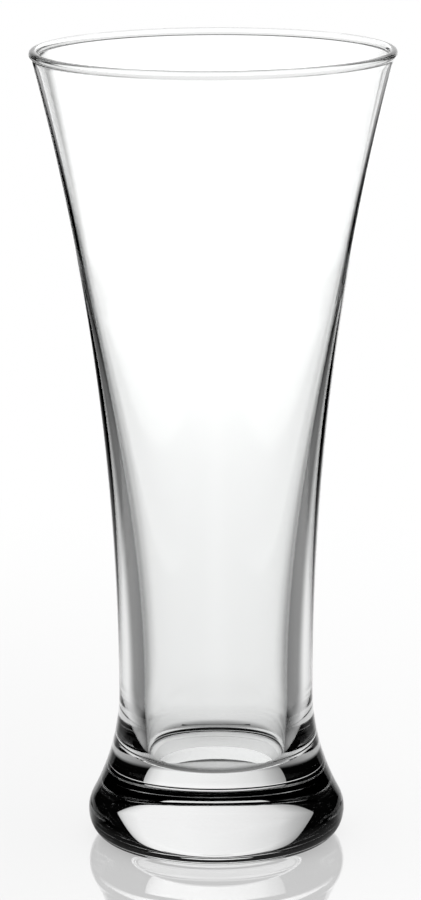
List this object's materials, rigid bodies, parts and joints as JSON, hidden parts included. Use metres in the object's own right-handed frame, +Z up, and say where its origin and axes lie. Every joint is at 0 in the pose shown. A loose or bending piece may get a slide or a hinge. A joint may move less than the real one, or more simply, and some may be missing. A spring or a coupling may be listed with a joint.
{
  "type": "pilsner glass",
  "caption": "Tall clear drinking glass with a thin flared bowl, a small rounded lip and a heavy solid foot, standing on a flat ring.",
  "frame": {"origin": "centre of the foot, on the plane that the glass stands on", "axes": "+Z up along the axis of the glass; X and Y are any two level directions, as the glass is round"},
  "size_m": [0.0836, 0.0836, 0.185],
  "materials": {
    "clear_glass": "fire polished, clear and colourless"
  },
  "bodies": {
    "root": {"bowl": "clear_glass", "foot": "clear_glass"}
  },
  "joints": []
}
